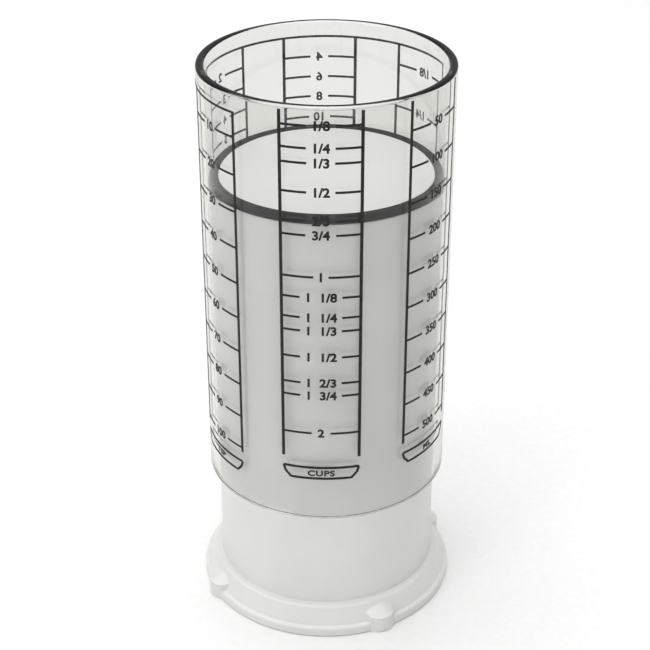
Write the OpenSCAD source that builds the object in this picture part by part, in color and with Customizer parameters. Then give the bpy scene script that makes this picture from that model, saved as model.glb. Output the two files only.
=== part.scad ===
// Adjustable measuring cup: a clear sleeve with printed scales slides and turns on a plunger.
// The plunger's sealed top face is the cup's floor, and the seal's top edge is the pointer.
// Origin: centre of the plunger's base. +Z is up the axis and -Y is the front.

/* [Measure] */
// Volume of one US cup, in millilitres
cup_ml = 236.588; // [200:0.001:250]
// Volume that the cup is set to, in cups
set_cups = 0.66; // [0.2:0.001:1.8]

/* [Sleeve] */
// Outside diameter of the sleeve
sleeve_d = 79.4; // [70:0.1:90]
// Thickness of the sleeve's wall
sleeve_wall = 2.6; // [2:0.1:3.5]
// Length of the sleeve
sleeve_len = 140.9; // [135:0.1:150]
// Radius of the sleeve's rounded edges
sleeve_round = 0.9; // [0.3:0.1:0.95]

/* [Plunger] */
// Height of the plunger, from its base to the seat of the seal
plunger_h = 149.8; // [145:0.1:155]
// Height of the plunger's face above the seat of the seal
face_rise = 2.1; // [0.6:0.1:2.2]
// Gap between the plunger's side and the sleeve's bore
side_gap = 0.5; // [0.3:0.1:1]
// Thickness of the plunger's side wall
plunger_wall = 2.2; // [1.6:0.1:3]
// Thickness of the plunger's top
top_t = 2.4; // [1.6:0.1:4]

/* [Foot] */
// Height of the foot, from the base to its shoulder
foot_h = 9.7; // [8:0.1:14]
// Radius of the bead round the base
bead_r = 42.8; // [42:0.1:46]
// Height of the bead
bead_h = 3.5; // [2.5:0.1:5]
// Angle that the foot's side flares by
flare = 25; // [15:1:30]
// Number of grip lugs
lug_n = 4; // [3:1:8]
// Radius that the grip lugs reach
lug_reach = 44.6; // [44:0.1:48]
// Radius of a lug's rounded nose
lug_r = 5.2; // [4:0.1:7]
// Angle of the first lug, counted from the front towards +X
lug_phi = 26.5; // [0:0.5:90]

/* [Seal] */
// Inner radius of the seal
seal_r = 33.9; // [32:0.1:34.4]
// Thickness of the seal's flange, above its seat
flange_t = 2.3; // [2.2:0.1:3]
// Width of the seal's stem, which sits in the plunger's groove
stem_w = 1.6; // [1.2:0.1:1.8]
// Depth of the plunger's groove
groove_depth = 3.2; // [2:0.1:5]
// Running clearance round the seal
clearance = 0.05; // [0.02:0.01:0.1]

/* [Print] */
// Angle between neighbouring scales
scale_pitch = 58; // [50:0.5:60]
// Angle that one scale spans
scale_span = 36.4; // [30:0.1:40]
// Angle of the cups scale's centre, counted from the front towards +X
scale_phi = -2.5; // [-20:0.5:20]
// Width of the scales' upright lines
upright_w = 1; // [0.5:0.1:1.5]
// Distance that the marks sit nearer the rim than the seal's top edge alone would put them
mark_lead = 1.21; // [0:0.01:2]
// Height of the marks' lines
mark_h = 0.65; // [0.4:0.05:1]
// Length of each mark, from the scale's edge towards its number
mark_len = 7.4; // [3:0.1:9]
// Thickness of the ink
ink_t = 0.12; // [0.05:0.01:0.3]
// Depth of the two open scales' upper ends, below the rim
open_top = 1.3; // [1:0.1:4]
// Depth of the uprights' lower ends
upright_end = 117.5; // [112:0.5:120]
// Depth of the teaspoons scale's first mark, below the rim
tsp_first = 13.3; // [10:0.1:16]
// Distance between the teaspoons scale's marks
tsp_step = 11.9; // [11:0.1:12]
// Extra length of the teaspoons scale, which ends lower than the others
tsp_drop = 4.6; // [4:0.1:8]
// Depth of the unit box's upper edge
label_top = 120.7; // [119:0.1:125]
// Height of the unit box
label_h = 4.9; // [4:0.1:8]

/* [Hidden] */
$fn = 144;
eps = 1;

sleeve_r = sleeve_d/2;
bore_r = sleeve_r - sleeve_wall;
plunger_r = bore_r - side_gap;

// One cup's height in the bore, and the depth below the rim of the mark for a volume in cups.
cup_height = cup_ml*1000/(PI*pow(bore_r, 2));
function mark_depth(cups) = cups*cup_height - mark_lead;

face_z = plunger_h + face_rise;
seal_top = plunger_h + flange_t;
rim_z = seal_top + mark_depth(set_cups);
sleeve_z = rim_z - sleeve_len;

tbsp_in_cup = 16;
floz_in_cup = 8;
cups_in_pint = 2;

shoulder_r = 1.4;
shoulder_x = plunger_r + 1.3;
bead_top_r = 0.9;
bead_base_r = 0.7;
foot_wall = 2.4;

ink = [0.16, 0.16, 0.16];

// A rectangle from (x, z), w wide and h tall, with its two right-hand corners rounded.
module bar_round_right(x, z, w, h, r) {
    translate([x, z]) square([w - r, h]);
    translate([x, z + r]) square([w, h - 2*r]);
    for (side = [r, h - r])
        translate([x + w - r, z + side]) circle(r);
}

// Half of the plunger's solid outline, before it is hollowed.
module plunger_outline() {
    shoulder_z = foot_h - shoulder_r;
    tangent_x = shoulder_x + shoulder_r*cos(flare);
    tangent_z = shoulder_z + shoulder_r*sin(flare);
    skirt_x = tangent_x + (tangent_z - bead_h)*tan(flare);
    square([plunger_r, plunger_h]);
    square([seal_r, face_z]);
    square([shoulder_x, foot_h]);
    translate([shoulder_x, shoulder_z]) circle(shoulder_r);
    polygon([[0, 0], [skirt_x, 0], [skirt_x, bead_h], [tangent_x, tangent_z], [0, tangent_z]]);
    square([bead_r - bead_top_r, bead_h]);
    square([bead_r - bead_base_r, bead_base_r + eps]);
    translate([0, bead_base_r]) square([bead_r, bead_h - bead_base_r - bead_top_r]);
    translate([bead_r - bead_top_r, bead_h - bead_top_r]) circle(bead_top_r);
    translate([bead_r - bead_base_r, bead_base_r]) circle(bead_base_r);
}

// Half of the plunger's hollow, open at the base.
module plunger_hollow() {
    inner_r = plunger_r - plunger_wall;
    rib_r = seal_r - 2;
    rib_z = plunger_h - groove_depth - 1.8;
    mouth_r = bead_r - foot_wall - bead_base_r;
    polygon([[0, -eps], [mouth_r, -eps], [mouth_r, 0.5], [mouth_r - 1.2, bead_h],
             [inner_r, foot_h + 1.5], [inner_r, rib_z], [rib_r, rib_z + 1.5],
             [rib_r, face_z - top_t], [0, face_z - top_t]]);
}

// One grip lug: a rounded nose on the foot, trimmed by a sloping top.
module lug(phi) {
    nose_x = lug_reach - lug_r;
    slope = tan(flare + 15);
    crest = foot_h - 1;
    foot_x = shoulder_x + shoulder_r;
    intersection() {
        rotate([0, 0, phi - 90]) translate([nose_x, 0, 0]) cylinder(h = foot_h, r = lug_r);
        rotate_extrude()
            polygon([[plunger_r - 1, 0], [lug_reach - 0.5, 0], [lug_reach, 0.5],
                     [lug_reach, crest - (lug_reach - foot_x)*slope/1.6], [foot_x, crest],
                     [plunger_r - 1, crest]]);
    }
}

module plunger() {
    color("whitesmoke")
    difference() {
        union() {
            rotate_extrude() plunger_outline();
            for (i = [0:lug_n - 1])
                lug(lug_phi + i*360/lug_n);
        }
        rotate_extrude() plunger_hollow();
        rotate_extrude()
            translate([seal_r, plunger_h - groove_depth]) square([stem_w, groove_depth + eps]);
    }
}

// The seal: a stem in the plunger's groove and a flange that wipes the sleeve's bore.
module seal_ring() {
    stem_z = plunger_h - groove_depth + clearance;
    lip_r = 0.5;
    color([0.07, 0.07, 0.07])
    rotate_extrude() {
        translate([seal_r + clearance, stem_z])
            square([stem_w - 2*clearance, seal_top - lip_r - stem_z]);
        bar_round_right(seal_r + clearance, plunger_h + clearance,
                        bore_r - seal_r - 2*clearance, flange_t - clearance, lip_r);
    }
}

// The sleeve is a plain tube, open at both ends, with rounded edges.
module sleeve() {
    color([0.86, 0.88, 0.86, 0.4])
    rotate_extrude() {
        r = sleeve_round;
        translate([bore_r, sleeve_z + r]) square([sleeve_wall, sleeve_len - 2*r]);
        translate([bore_r + r, sleeve_z]) square([sleeve_wall - 2*r, sleeve_len]);
        for (x = [bore_r + r, sleeve_r - r], z = [sleeve_z + r, rim_z - r])
            translate([x, z]) circle(r);
    }
}

// A patch of ink on the sleeve, from one angle to another, at a depth below the rim.
// A proud patch runs past both sides of the ink, to cut windows with.
module patch(phi_from, phi_to, depth, h, proud = 0) {
    rotate([0, 0, phi_from - 90])
        rotate_extrude(angle = phi_to - phi_from)
            translate([sleeve_r - proud, rim_z - depth - h]) square([ink_t + 2*proud, h]);
}

function degrees_of(w) = w/sleeve_r*180/PI;
function scale_centre(place) = scale_phi + place*scale_pitch;

// A scale: two uprights, marks at the given depths with room for a number, and a unit box.
// A drop moves its lower end and its box down.
module scale_print(place, depths, top, drop = 0) {
    left = scale_centre(place) - scale_span/2;
    right = left + scale_span;
    upright = degrees_of(upright_w);
    reach = degrees_of(mark_len);
    marks = [for (depth = depths) depth - mark_h/2];
    end = upright_end + drop;
    box_top = label_top + drop;
    starts = concat([top - eps], [for (depth = marks) depth + mark_h]);
    ends = concat(marks, [end + eps]);
    color(ink) {
        difference() {
            patch(left, right, top, end - top);
            for (i = [0:len(marks)])
                patch(left + upright, right - upright, starts[i], ends[i] - starts[i], eps);
            patch(left + reach, right - reach, top - eps, end - top + 2*eps, eps);
        }
        difference() {
            patch(left, right, box_top, label_h);
            patch(left + upright, right - upright, box_top + mark_h, label_h - 2*mark_h, eps);
        }
    }
}

header_depth = mark_depth(1/8) - mark_h/2;
header_end = header_depth + mark_h;

module header_line() {
    color(ink)
        patch(scale_centre(-4) - scale_span/2, scale_centre(-1) + scale_span/2,
              header_depth, mark_h);
}
module scale_millilitres() {
    scale_print(1, [for (v = [50:50:500]) mark_depth(v/cup_ml)], open_top);
}
module scale_cups() {
    volumes = [1/8, 1/4, 1/3, 1/2, 2/3, 3/4, 1, 9/8, 5/4, 4/3, 3/2, 5/3, 7/4, 2];
    scale_print(0, [for (cups = volumes) mark_depth(cups)], open_top);
}
module scale_teaspoons() {
    scale_print(-1, [for (n = [0:9]) tsp_first + n*tsp_step], header_end, tsp_drop);
}
module scale_fluid_ounces() {
    scale_print(-2, [for (v = [2:16]) mark_depth(v/floz_in_cup)], header_end);
}
module scale_tablespoons() {
    scale_print(-3, [for (v = [4:2:32]) mark_depth(v/tbsp_in_cup)], header_end);
}
module scale_pints() {
    scale_print(-4, [for (n = [1:8]) mark_depth(n/8*cups_in_pint)], header_end);
}

plunger();
seal_ring();
sleeve();
header_line();
scale_millilitres();
scale_cups();
scale_teaspoons();
scale_fluid_ounces();
scale_tablespoons();
scale_pints();
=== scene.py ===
"""Looks of an adjustable measuring cup: a clear printed sleeve, a white plunger, a black seal."""

import math

import bmesh
import bpy
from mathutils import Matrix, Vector


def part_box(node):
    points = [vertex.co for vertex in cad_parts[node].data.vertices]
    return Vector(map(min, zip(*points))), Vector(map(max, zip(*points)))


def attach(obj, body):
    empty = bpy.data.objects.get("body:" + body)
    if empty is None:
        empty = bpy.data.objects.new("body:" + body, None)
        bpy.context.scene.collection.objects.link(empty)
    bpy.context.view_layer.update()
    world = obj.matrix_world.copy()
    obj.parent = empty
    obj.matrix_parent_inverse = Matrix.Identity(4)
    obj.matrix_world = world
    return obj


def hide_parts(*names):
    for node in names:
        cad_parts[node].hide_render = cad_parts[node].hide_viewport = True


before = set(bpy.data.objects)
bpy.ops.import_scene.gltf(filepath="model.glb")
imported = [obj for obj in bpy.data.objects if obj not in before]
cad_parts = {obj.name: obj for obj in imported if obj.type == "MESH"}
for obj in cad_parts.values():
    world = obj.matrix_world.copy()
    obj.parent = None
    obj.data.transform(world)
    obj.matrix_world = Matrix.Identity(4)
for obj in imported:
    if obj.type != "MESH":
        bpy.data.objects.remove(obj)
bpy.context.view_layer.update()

MM = 0.001
TURN = 2 * math.pi
AROUND = 288  # points round the sleeve and the seal
PLUNGER_AROUND = 720  # more, because of its lugs
SUPPORT = 0.12 * MM  # from the end of a straight run to its extra point
MERGE = 1e-7  # points closer than this become one

# ---------------------------------------------------------------- sizes, from the frame

sleeve_low, sleeve_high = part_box("sleeve")
_, seal_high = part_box("seal_ring")
_, plunger_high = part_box("plunger")

SLEEVE_R = 0.5 * (sleeve_high.x - sleeve_low.x)
RIM_Z = sleeve_high.z
SLEEVE_Z = sleeve_low.z
RUNNING_GAP = 0.05 * MM
BORE_R = seal_high.x + RUNNING_GAP
SEAL_TOP = seal_high.z
FACE_Z = plunger_high.z
FLANGE_T = 2.3 * MM
SEAT_Z = SEAL_TOP - FLANGE_T
SIDE_GAP = 0.5 * MM
PLUNGER_R = BORE_R - SIDE_GAP

SLEEVE_ROUND = 0.9 * MM
SLEEVE_FOOT_ROUND = 0.3 * MM

SEAL_R = 33.9 * MM
STEM_W = 1.6 * MM
GROOVE_DEPTH = 3.2 * MM
SEAL_LIP = 0.5 * MM
SEAL_EDGE = 0.3 * MM

PLUNGER_WALL = 2.2 * MM
TOP_T = 2.4 * MM
FOOT_H = 9.7 * MM
BEAD_R = 42.8 * MM
BEAD_H = 3.5 * MM
FLARE = math.radians(25)
PLUNGER_EDGE = 0.35 * MM
RIB_W = 2 * MM
RIB_T = 1.8 * MM
FOOT_FILLET = 0.4 * MM
SHOULDER_ROUND = 1.4 * MM
SHOULDER_OUT = 1.3 * MM
FLARE_STEPS = 12
BEAD_TOP_ROUND = 0.9 * MM
BEAD_BASE_ROUND = 0.7 * MM
MOUTH_WALL = 2.4 * MM
FOOT_MIDDLE = 40.9 * MM
FOOT_MIDDLE_LEAN = 0.32
LUG_COUNT = 4
LUG_REACH = 44.6 * MM
LUG_R = 5.2 * MM
LUG_PHI = math.radians(26.5)
LUG_CROWN = 1.5 * MM
LUG_BELOW_FOOT = 0.8 * MM
LUG_TOP_OUT = 1.6 * MM
LUG_SLOPE = 2.1
LUG_TRIM = 0.6 * MM
LUG_BLEND = 0.7 * MM

# ---------------------------------------------------------------- the print's layout

CUP_ML = 236.588
CUP_HEIGHT = CUP_ML * 1e-6 / (math.pi * BORE_R**2)
MARK_LEAD = 1.21 * MM
SCALE_PITCH = math.radians(58)
SCALE_SPAN = math.radians(36.4)
SCALE_PHI = math.radians(-2.5)
UPRIGHT_W = 1.0 * MM
MARK_H = 0.72 * MM
OPEN_TOP = 1.3 * MM
UPRIGHT_END = 117.5 * MM
TSP_FIRST = 13.3 * MM
TSP_STEP = 11.9 * MM
TSP_DROP = 4.6 * MM
LABEL_TOP = 120.7 * MM
LABEL_H = 4.9 * MM
NUMBER_H = 2.7 * MM
NUMBER_GAP = 1.9 * MM
NUMBER_STRETCH = 1.05
LABEL_TEXT_H = 1.95 * MM
LABEL_TEXT_DROP = 0.1 * MM
LABEL_STRETCH = 1.2
LABEL_SPACING = 1.1
LABEL_LINE = 0.85 * MM
LABEL_SLANT = 2.4 * MM
LABEL_BEND = 0.25
LABEL_STEPS = 16
STRIP_STEP = 0.8 * MM
STROKE_GAIN = 0.035
INK_T = 0.06 * MM
INK_GAP = 0.02 * MM


def mark_depth(cups):
    """Depth below the rim of the mark for a volume in cups."""
    return cups * CUP_HEIGHT - MARK_LEAD


# ---------------------------------------------------------------- mesh helpers


def new_object(name, mesh):
    """Puts a mesh, curve, lamp or camera into the scene."""
    piece = bpy.data.objects.new(name, mesh)
    bpy.context.scene.collection.objects.link(piece)
    return piece


def arc(centre, radius, start, end, steps=8):
    """Points on an arc in the (radius, height) plane, from one angle to another in degrees."""
    points = []
    for i in range(steps + 1):
        angle = math.radians(start + (end - start) * i / steps)
        points.append((centre[0] + radius * math.cos(angle), centre[1] + radius * math.sin(angle)))
    return points


def around_point(phi, radius, z):
    """A point at an angle counted from the front (-Y) towards +X."""
    return (radius * math.sin(phi), -radius * math.cos(phi), z)


def supported(outline):
    """Adds points near both ends of long straight runs, to keep smooth shading flat there."""
    held = []
    for start, end in zip(outline, outline[1:] + outline[:1]):
        held.append(start)
        length = math.dist(start, end)
        if length > 4 * SUPPORT:
            for share in (SUPPORT / length, 1 - SUPPORT / length):
                held.append(tuple(a + (b - a) * share for a, b in zip(start, end)))
    return held


def lathe(name, outline, reach=None, around=AROUND):
    """A closed solid of revolution. reach(phi, radius, z) may push a point outwards."""
    outline = supported(outline)
    mesh = bpy.data.meshes.new(name)
    build = bmesh.new()
    rings = []
    for i in range(around):
        phi = TURN * i / around
        ring = []
        for radius, z in outline:
            r = reach(phi, radius, z) if reach else radius
            ring.append(build.verts.new(around_point(phi, r, z)))
        rings.append(ring)
    count = len(outline)
    for i in range(around):
        ring, following = rings[i], rings[(i + 1) % around]
        for k in range(count):
            after = (k + 1) % count
            build.faces.new((ring[k], following[k], following[after], ring[after]))
    bmesh.ops.remove_doubles(build, verts=build.verts, dist=MERGE)
    bmesh.ops.recalc_face_normals(build, faces=build.faces)
    build.to_mesh(mesh)
    build.free()
    for polygon in mesh.polygons:
        polygon.use_smooth = True
    return new_object(name, mesh)


def sharpen(piece, degrees):
    """Keeps edges above this angle crisp under smooth shading."""
    mesh = piece.data
    build = bmesh.new()
    build.from_mesh(mesh)
    for edge in build.edges:
        if len(edge.link_faces) == 2:
            edge.smooth = edge.calc_face_angle(0) < math.radians(degrees)
    build.to_mesh(mesh)
    build.free()


# ---------------------------------------------------------------- materials


def material(name):
    """A new node material, with its nodes and links."""
    made = bpy.data.materials.new(name)
    made.use_nodes = True
    return made, made.node_tree.nodes, made.node_tree.links


def socket(nodes, name):
    """An input of the material's own shader."""
    return nodes["Principled BSDF"].inputs[name]


def noise(nodes, links, scale, detail=3.0, roughness=0.5):
    """Noise over the piece's own space, in metres."""
    place = nodes.new("ShaderNodeTexCoord")
    made = nodes.new("ShaderNodeTexNoise")
    made.inputs["Scale"].default_value = scale
    made.inputs["Detail"].default_value = detail
    made.inputs["Roughness"].default_value = roughness
    links.new(place.outputs["Object"], made.inputs["Vector"])
    return made.outputs["Fac"]


def spread(nodes, links, factor, low, high):
    """Maps a noise's middle range onto low to high."""
    made = nodes.new("ShaderNodeMapRange")
    made.inputs["From Min"].default_value = 0.3
    made.inputs["From Max"].default_value = 0.7
    made.inputs["To Min"].default_value = low
    made.inputs["To Max"].default_value = high
    links.new(factor, made.inputs["Value"])
    return made.outputs["Result"]


def tint(nodes, links, factor, dark, light):
    """Mixes two colours by a noise."""
    made = nodes.new("ShaderNodeValToRGB")
    made.color_ramp.elements[0].position = 0.35
    made.color_ramp.elements[1].position = 0.65
    made.color_ramp.elements[0].color = (*dark, 1)
    made.color_ramp.elements[1].color = (*light, 1)
    links.new(factor, made.inputs["Fac"])
    return made.outputs["Color"]


def bump(nodes, links, height, distance, strength=1.0, after=None):
    """Relief from a noise, on top of an earlier relief if there is one."""
    made = nodes.new("ShaderNodeBump")
    made.inputs["Strength"].default_value = strength
    made.inputs["Distance"].default_value = distance
    links.new(height, made.inputs["Height"])
    if after:
        links.new(after, made.inputs["Normal"])
    return made.outputs["Normal"]


def white_plastic():
    """Moulded white plastic: satin, very slightly uneven, with a fine skin."""
    made, nodes, links = material("white_plastic")
    socket(nodes, "IOR").default_value = 1.49
    socket(nodes, "Subsurface Weight").default_value = 0.12
    socket(nodes, "Subsurface Radius").default_value = (1.0, 1.0, 0.9)
    socket(nodes, "Subsurface Scale").default_value = 0.0012
    cloudy = noise(nodes, links, 28)
    colour = tint(nodes, links, cloudy, (0.72, 0.72, 0.712), (0.755, 0.755, 0.748))
    links.new(colour, socket(nodes, "Base Color"))
    satin = spread(nodes, links, noise(nodes, links, 160), 0.30, 0.36)
    links.new(satin, socket(nodes, "Roughness"))
    flow = bump(nodes, links, noise(nodes, links, 45, 1), 0.00008, 0.2)
    skin = bump(nodes, links, noise(nodes, links, 2600, 2), 0.000012, 0.5, flow)
    links.new(skin, socket(nodes, "Normal"))
    return made


def clear_plastic():
    """Clear moulded plastic: a faint grey-green tint in its depth and fine rubbing on its skin."""
    made, nodes, links = material("clear_plastic")
    socket(nodes, "Base Color").default_value = (0.845, 0.850, 0.827, 1)
    socket(nodes, "Transmission Weight").default_value = 1
    socket(nodes, "IOR").default_value = 1.48
    socket(nodes, "Specular IOR Level").default_value = 0.3
    rubbed = spread(nodes, links, noise(nodes, links, 90, 4), 0.0, 0.035)
    links.new(rubbed, socket(nodes, "Roughness"))
    ripple = bump(nodes, links, noise(nodes, links, 45, 1), 0.0001, 0.25)
    links.new(ripple, socket(nodes, "Normal"))
    depth = nodes.new("ShaderNodeVolumeAbsorption")
    depth.inputs["Color"].default_value = (0.3, 0.312, 0.262, 1)
    depth.inputs["Density"].default_value = 14
    links.new(depth.outputs["Volume"], nodes["Material Output"].inputs["Volume"])
    open_to_lamps(nodes, links)
    return made


def open_to_lamps(nodes, links):
    """Lets lamplight and light off other surfaces straight through, to light what is inside."""
    path = nodes.new("ShaderNodeLightPath")
    either = nodes.new("ShaderNodeMath")
    either.operation = "MAXIMUM"
    through = nodes.new("ShaderNodeBsdfTransparent")
    mixed = nodes.new("ShaderNodeMixShader")
    links.new(path.outputs["Is Shadow Ray"], either.inputs[0])
    links.new(path.outputs["Is Diffuse Ray"], either.inputs[1])
    links.new(either.outputs["Value"], mixed.inputs["Fac"])
    links.new(nodes["Principled BSDF"].outputs["BSDF"], mixed.inputs[1])
    links.new(through.outputs["BSDF"], mixed.inputs[2])
    links.new(mixed.outputs["Shader"], nodes["Material Output"].inputs["Surface"])


def black_rubber():
    """Soft black rubber: dull, a little dusty, with a fine grain."""
    made, nodes, links = material("black_rubber")
    socket(nodes, "Specular IOR Level").default_value = 0.05
    dust = noise(nodes, links, 220, 4)
    colour = tint(nodes, links, dust, (0.004, 0.004, 0.004), (0.010, 0.010, 0.009))
    links.new(colour, socket(nodes, "Base Color"))
    links.new(spread(nodes, links, dust, 0.38, 0.55), socket(nodes, "Roughness"))
    grain = bump(nodes, links, noise(nodes, links, 3000, 2), 0.00002, 0.6)
    links.new(grain, socket(nodes, "Normal"))
    return made


def black_ink():
    """Screen-printed ink: flat black, slightly thin in places."""
    made, nodes, links = material("black_ink")
    socket(nodes, "Specular IOR Level").default_value = 0.2
    patchy = noise(nodes, links, 900, 3)
    colour = tint(nodes, links, patchy, (0.018, 0.018, 0.018), (0.04, 0.04, 0.038))
    links.new(colour, socket(nodes, "Base Color"))
    links.new(spread(nodes, links, patchy, 0.42, 0.6), socket(nodes, "Roughness"))
    return made


def floor_paper():
    """Matt white paper with a fine grain."""
    made, nodes, links = material("floor_paper")
    fine = noise(nodes, links, 400, 3)
    colour = tint(nodes, links, fine, (0.825, 0.825, 0.823), (0.845, 0.845, 0.843))
    links.new(colour, socket(nodes, "Base Color"))
    socket(nodes, "Roughness").default_value = 0.9
    return made


WHITE = white_plastic()
CLEAR = clear_plastic()
RUBBER = black_rubber()
INK = black_ink()


def finish_piece(piece, surface, body, slot, *nodes):
    """Gives a piece its material and its body, and hides the CAD nodes that it stands for; slot is
    not used.
    """
    piece.data.materials.append(surface)
    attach(piece, body)
    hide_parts(*nodes)
    return piece


# ---------------------------------------------------------------- the three mouldings


def make_sleeve():
    """The clear tube, open at both ends."""
    r = SLEEVE_ROUND
    foot = SLEEVE_FOOT_ROUND
    outline = []
    outline += arc((BORE_R + foot, SLEEVE_Z + foot), foot, 180, 270)
    outline += arc((SLEEVE_R - foot, SLEEVE_Z + foot), foot, 270, 360)
    outline += arc((SLEEVE_R - r, RIM_Z - r), r, 0, 90)
    outline += arc((BORE_R + r, RIM_Z - r), r, 90, 180)
    piece = lathe("clear_sleeve", outline)
    return finish_piece(piece, CLEAR, "sleeve", "clear_plastic", "sleeve")


def make_seal():
    """The black ring: a stem in the plunger's groove under a flange that wipes the bore."""
    inner = SEAL_R + RUNNING_GAP
    stem_r = SEAL_R + STEM_W - RUNNING_GAP
    stem_z = SEAT_Z - GROOVE_DEPTH + RUNNING_GAP
    flange_z = SEAT_Z + RUNNING_GAP
    outer = BORE_R - RUNNING_GAP
    outline = []
    outline += arc((inner + SEAL_EDGE, SEAL_TOP - SEAL_EDGE), SEAL_EDGE, 180, 90, 5)
    outline += arc((outer - SEAL_LIP, SEAL_TOP - SEAL_LIP), SEAL_LIP, 90, 0)
    outline += arc((outer - SEAL_LIP, flange_z + SEAL_LIP), SEAL_LIP, 0, -90)
    outline += [(stem_r, flange_z), (stem_r, stem_z), (inner, stem_z)]
    piece = lathe("seal", outline)
    sharpen(piece, 40)
    return finish_piece(piece, RUBBER, "seal", "black_rubber", "seal_ring")


def lug_push(phi, radius, z):
    """Pushes the foot's side out over the grip lugs, with a soft join."""
    inside = radius < FOOT_MIDDLE - FOOT_MIDDLE_LEAN * z
    if z > FOOT_H or inside:
        return radius
    step = TURN / LUG_COUNT
    off = (phi - LUG_PHI + step / 2) % step - step / 2
    centre = LUG_REACH - LUG_R
    across = centre * math.sin(off)
    if abs(across) >= LUG_R:
        return radius
    crown = LUG_CROWN * (across / LUG_R) ** 2
    crest = max(0.0, FOOT_H - LUG_BELOW_FOOT - crown - z)
    nose = centre * math.cos(off) + math.sqrt(LUG_R**2 - across**2)
    slope_reach = PLUNGER_R + LUG_TOP_OUT + crest * LUG_SLOPE
    foot_trim = LUG_TRIM * max(0.0, 1 - z / LUG_TRIM) ** 2
    nose = min(nose, slope_reach, LUG_REACH - foot_trim)
    gap = nose - radius
    if gap < -LUG_BLEND:
        return radius
    if gap > LUG_BLEND:
        return nose
    share = (gap + LUG_BLEND) / (2 * LUG_BLEND)
    return radius + share * share * LUG_BLEND


def make_plunger():
    """The white hollow plunger, with its groove, flared foot, bead and grip lugs."""
    shoulder_x = PLUNGER_R + SHOULDER_OUT
    shoulder_z = FOOT_H - SHOULDER_ROUND
    flare = math.degrees(FLARE)
    tangent_x = shoulder_x + SHOULDER_ROUND * math.cos(FLARE)
    tangent_z = shoulder_z + SHOULDER_ROUND * math.sin(FLARE)
    skirt_x = tangent_x + (tangent_z - BEAD_H) * math.tan(FLARE)
    inner = PLUNGER_R - PLUNGER_WALL
    rib_r = SEAL_R - RIB_W
    groove_z = SEAT_Z - GROOVE_DEPTH
    rib_z = groove_z - RIB_T
    mouth_r = BEAD_R - MOUTH_WALL - BEAD_BASE_ROUND
    foot_side = [
        (
            tangent_x + (skirt_x - tangent_x) * i / FLARE_STEPS,
            tangent_z + (BEAD_H - tangent_z) * i / FLARE_STEPS,
        )
        for i in range(1, FLARE_STEPS)
    ]
    edge = PLUNGER_EDGE
    fillet = FOOT_FILLET
    outline = [(0, FACE_Z), (SEAL_R * 0.5, FACE_Z)]
    outline += arc((SEAL_R - edge, FACE_Z - edge), edge, 90, 0, 4)
    outline += [(SEAL_R, groove_z), (SEAL_R + STEM_W, groove_z)]
    outline += [(SEAL_R + STEM_W, SEAT_Z)]
    outline += arc((PLUNGER_R - edge, SEAT_Z - edge), edge, 90, 0, 4)
    outline += [(PLUNGER_R, FOOT_H + fillet)]
    outline += arc((PLUNGER_R + fillet, FOOT_H + fillet), fillet, 180, 270, 4)
    outline += arc((shoulder_x, shoulder_z), SHOULDER_ROUND, 90, flare, 8)
    outline += foot_side
    outline += [(skirt_x - 0.15 * MM, BEAD_H + 0.25 * MM)]
    top, base = BEAD_TOP_ROUND, BEAD_BASE_ROUND
    outline += arc((BEAD_R - top, BEAD_H - top), top, 75, 0, 6)
    outline += arc((BEAD_R - base, base), base, 0, -90, 6)
    outline += [(mouth_r, 0), (mouth_r, 0.5 * MM), (mouth_r - 1.2 * MM, BEAD_H)]
    outline += [(inner, FOOT_H + 1.5 * MM), (inner, rib_z), (rib_r, rib_z + 1.5 * MM)]
    outline += [(rib_r, FACE_Z - TOP_T), (0, FACE_Z - TOP_T)]
    piece = lathe("white_plunger", outline, lug_push, PLUNGER_AROUND)
    sharpen(piece, 32)
    return finish_piece(piece, WHITE, "plunger", "white_plastic", "plunger")


# ---------------------------------------------------------------- the print


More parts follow.
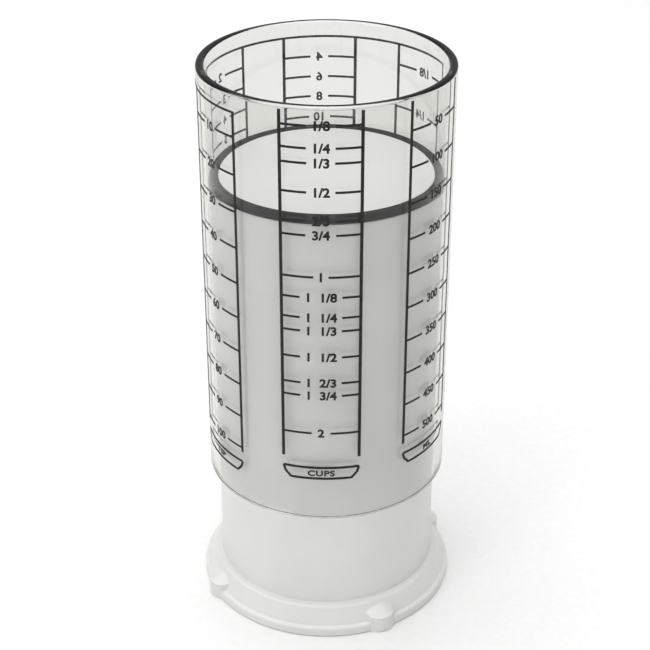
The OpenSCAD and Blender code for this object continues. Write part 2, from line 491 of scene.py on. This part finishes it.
class Print:
    """Flat shapes in (arc length, depth below the rim), wrapped onto the sleeve and thickened."""

    def __init__(self, name):
        self.name = name
        self.build = bmesh.new()

    def strip(self, left, right, top, bottom):
        """A rectangle, cut often enough to follow the curve. left and right are angles."""
        steps = max(1, round((right - left) * SLEEVE_R / STRIP_STEP))
        rows = []
        for i in range(steps + 1):
            phi = left + (right - left) * i / steps
            rows.append((self.vert(phi, top), self.vert(phi, bottom)))
        for (a, b), (c, d) in zip(rows, rows[1:]):
            self.build.faces.new((a, b, d, c))

    def ribbon(self, middle, width):
        """A line of a given width through points of (angle, depth)."""
        flat = [Vector((phi * SLEEVE_R, depth)) for phi, depth in middle]
        rows = []
        for i, point in enumerate(flat):
            before = flat[max(0, i - 1)]
            after = flat[min(len(flat) - 1, i + 1)]
            along = (after - before).normalized()
            side = Vector((-along.y, along.x)) * width / 2
            rows.append([self.vert(p.x / SLEEVE_R, p.y) for p in (point + side, point - side)])
        for (a, b), (c, d) in zip(rows, rows[1:]):
            self.build.faces.new((a, b, d, c))

    def vert(self, phi, depth):
        """A point on the sleeve's outside, just clear of it."""
        return self.build.verts.new(around_point(phi, SLEEVE_R + INK_GAP, RIM_Z - depth))

    def text(self, words, phi, depth, height, stretch=1.0, spacing=1.0):
        """Characters centred at an angle and depth, in the built-in font. Returns their width."""
        curve = bpy.data.curves.new("glyphs", "FONT")
        curve.body = words
        curve.size = 1
        curve.space_character = spacing
        curve.align_x = "CENTER"
        curve.resolution_u = 6
        curve.offset = STROKE_GAIN
        holder = new_object("glyphs", curve)
        bpy.context.view_layer.update()
        flat = bpy.data.meshes.new_from_object(holder)
        scale = height / CAP_HEIGHT
        base = depth + height / 2
        verts = [
            self.vert(phi + v.co.x * scale * stretch / SLEEVE_R, base - v.co.y * scale)
            for v in flat.vertices
        ]
        for polygon in flat.polygons:
            self.build.faces.new([verts[i] for i in polygon.vertices])
        across = [v.co.x for v in flat.vertices]
        width = (max(across) - min(across)) * scale * stretch
        bpy.data.objects.remove(holder)
        bpy.data.curves.remove(curve)
        bpy.data.meshes.remove(flat)
        return width

    def done(self, node):
        """Makes the panel's piece, which stands for this CAD node."""
        mesh = bpy.data.meshes.new(self.name)
        bmesh.ops.remove_doubles(self.build, verts=self.build.verts, dist=MERGE)
        bmesh.ops.recalc_face_normals(self.build, faces=self.build.faces)
        thicken(self.build)
        self.build.to_mesh(mesh)
        self.build.free()
        piece = new_object(self.name, mesh)
        return finish_piece(piece, INK, "sleeve", "black_ink", node)


def thicken(build):
    """Turns the wrapped shapes into thin closed solids, their outer skin INK_T proud."""
    made = bmesh.ops.extrude_face_region(build, geom=list(build.faces), use_keep_orig=True)
    for item in made["geom"]:
        if isinstance(item, bmesh.types.BMVert):
            flat = Vector((item.co.x, item.co.y, 0))
            item.co += flat.normalized() * INK_T
    bmesh.ops.recalc_face_normals(build, faces=build.faces)


def cap_height():
    """Height of the numeral 1 in the built-in typeface at size 1."""
    curve = bpy.data.curves.new("measure", "FONT")
    curve.body = "1"
    holder = new_object("measure", curve)
    bpy.context.view_layer.update()
    flat = bpy.data.meshes.new_from_object(holder)
    heights = [v.co.y for v in flat.vertices]
    bpy.data.objects.remove(holder)
    bpy.data.curves.remove(curve)
    bpy.data.meshes.remove(flat)
    return max(heights) - min(heights)


CAP_HEIGHT = cap_height()


def label_box(panel, left, right, words, centre, drop):
    """The unit box: straight on top, its lower corners cut away, with the unit's name inside."""
    top = LABEL_TOP + drop + LABEL_LINE / 2
    bottom = LABEL_TOP + drop + LABEL_H - LABEL_LINE / 2
    inset = UPRIGHT_W / 2 / SLEEVE_R
    slant = LABEL_SLANT / SLEEVE_R
    low, high = left + inset, right - inset
    steps = LABEL_STEPS
    panel.ribbon([(low + (high - low) * i / steps, top) for i in range(steps + 1)], LABEL_LINE)
    start, end = low + slant, high - slant
    floor = [(start + (end - start) * i / steps, bottom) for i in range(steps + 1)]
    bend = slant * LABEL_BEND
    middle = top + (bottom - top) * 0.5
    side = [(low, top), (low + bend, middle)]
    panel.ribbon(side + floor + [(high - bend, middle), (high, top)], LABEL_LINE)
    depth = (top + bottom) / 2 + LABEL_TEXT_DROP
    panel.text(words, centre, depth, LABEL_TEXT_H, LABEL_STRETCH, LABEL_SPACING)


def scale_print(node, place, depths, words, unit, top, drop=0.0):
    """One scale: uprights, marks at depths below the rim, their numbers and the unit box."""
    panel = Print(node.replace("scale_", "print_"))
    centre = SCALE_PHI + place * SCALE_PITCH
    left = centre - SCALE_SPAN / 2
    right = centre + SCALE_SPAN / 2
    upright = UPRIGHT_W / SLEEVE_R
    panel.strip(left, left + upright, top, UPRIGHT_END + drop)
    panel.strip(right - upright, right, top, UPRIGHT_END + drop)
    for depth, number in zip(depths, words):
        width = panel.text(number, centre, depth, NUMBER_H, NUMBER_STRETCH)
        gap = (width / 2 + NUMBER_GAP) / SLEEVE_R
        panel.strip(left + upright, centre - gap, depth - MARK_H / 2, depth + MARK_H / 2)
        panel.strip(centre + gap, right - upright, depth - MARK_H / 2, depth + MARK_H / 2)
    label_box(panel, left, right, unit, centre, drop)
    return panel.done(node)


HEADER = mark_depth(1 / 8) - MARK_H / 2


def make_header():
    """The line that joins the tops of the four scales that start below it."""
    panel = Print("print_header")
    left = SCALE_PHI - 4 * SCALE_PITCH - SCALE_SPAN / 2
    right = SCALE_PHI - SCALE_PITCH + SCALE_SPAN / 2
    panel.strip(left, right, HEADER, HEADER + MARK_H)
    return panel.done("header_line")


def whole_numbers(values):
    """The words for a row of whole numbers."""
    return [str(value) for value in values]


def make_print():
    """The six scales, from the right-hand one round to the back right, and the header line."""
    below_header = HEADER + MARK_H
    numbers = range(50, 501, 50)
    depths = [mark_depth(n / CUP_ML) for n in numbers]
    scale_print("scale_millilitres", 1, depths, whole_numbers(numbers), "ML", OPEN_TOP)

    words = ["1/8", "1/4", "1/3", "1/2", "2/3", "3/4", "1"]
    words += ["1 1/8", "1 1/4", "1 1/3", "1 1/2", "1 2/3", "1 3/4", "2"]
    depths = [mark_depth(sum(fraction(part) for part in number.split())) for number in words]
    words = [number.replace(" ", "  ") for number in words]
    scale_print("scale_cups", 0, depths, words, "CUPS", OPEN_TOP)

    # These marks are placed by position. They don't fall on the volumes that their numbers say.
    depths = [TSP_FIRST + i * TSP_STEP for i in range(10)]
    words = whole_numbers(range(10, 101, 10))
    scale_print("scale_teaspoons", -1, depths, words, "TSP", below_header, TSP_DROP)

    numbers = range(2, 17)
    depths = [mark_depth(n / 8) for n in numbers]
    scale_print("scale_fluid_ounces", -2, depths, whole_numbers(numbers), "FL OZ", below_header)

    numbers = range(4, 33, 2)
    depths = [mark_depth(n / 16) for n in numbers]
    scale_print("scale_tablespoons", -3, depths, whole_numbers(numbers), "TBSP", below_header)

    words = ["1/8", "1/4", "3/8", "1/2", "5/8", "3/4", "7/8", "1"]
    depths = [mark_depth(2 * fraction(number)) for number in words]
    scale_print("scale_pints", -4, depths, words, "PINTS", below_header)
    make_header()


def fraction(words):
    """The value of a whole number or a simple fraction."""
    parts = [float(part) for part in words.split("/")]
    return parts[0] / parts[1] if len(parts) == 2 else parts[0]


# ---------------------------------------------------------------- floor, light and camera

FLOOR_HALF = 12
WORLD_STRENGTH = 0.42
LAMPS = [  # name, place, width and height, watts
    ("overhead", (-0.2, 0.3, 2.4), (3.2, 3.2), 66),
    ("edge_strip", (-0.15, -0.75, 1.35), (1.1, 0.2), 1.8),
    ("left_key", (-1.0, -0.9, 0.8), (0.6, 0.9), 3.8),
    ("front_fill", (0.3, -1.5, 0.6), (1.2, 0.8), 1.6),
]
SENSOR_WIDTH = 36
LENS = 87.7
CAMERA_X = -0.5 * MM
CAMERA_Y = -456.6 * MM
CAMERA_ABOVE_RIM = 160.4 * MM
CAMERA_DOWN = 28.87  # degrees below level
DISPLAY_GAMMA = 0.9


def make_floor():
    """A plain floor, wide enough that a view from 15 degrees above level doesn't reach its edge."""
    mesh = bpy.data.meshes.new("floor")
    build = bmesh.new()
    bmesh.ops.create_grid(build, x_segments=2, y_segments=2, size=FLOOR_HALF)
    build.to_mesh(mesh)
    build.free()
    floor = new_object("floor", mesh)
    floor.data.materials.append(floor_paper())


def area_light(name, place, aim, size, power):
    """A soft rectangular lamp, turned towards a point."""
    light = bpy.data.lights.new(name, "AREA")
    light.shape = "RECTANGLE"
    light.size, light.size_y = size
    light.energy = power
    lamp = new_object(name, light)
    lamp.location = place
    lamp.rotation_euler = (Vector(aim) - Vector(place)).to_track_quat("-Z", "Y").to_euler()


def make_light():
    """An even white surround and the lamps."""
    middle = (0, 0, RIM_Z / 2)
    world = bpy.data.worlds.new("studio")
    world.use_nodes = True
    background = world.node_tree.nodes["Background"]
    background.inputs["Color"].default_value = (1, 1, 1, 1)
    background.inputs["Strength"].default_value = WORLD_STRENGTH
    bpy.context.scene.world = world
    for name, place, size, power in LAMPS:
        area_light(name, place, middle, size, power)


def make_camera():
    """The camera that looks down on the object from the front."""
    camera = bpy.data.cameras.new("camera")
    camera.sensor_width = SENSOR_WIDTH
    camera.lens = LENS
    holder = new_object("camera", camera)
    holder.location = (CAMERA_X, CAMERA_Y, RIM_Z + CAMERA_ABOVE_RIM)
    holder.rotation_euler = (math.radians(90 - CAMERA_DOWN), 0, 0)
    bpy.context.scene.camera = holder


make_sleeve()
make_seal()
make_plunger()
make_print()
make_floor()
make_light()
make_camera()
bpy.context.scene.view_settings.view_transform = "Standard"
bpy.context.scene.view_settings.gamma = DISPLAY_GAMMA
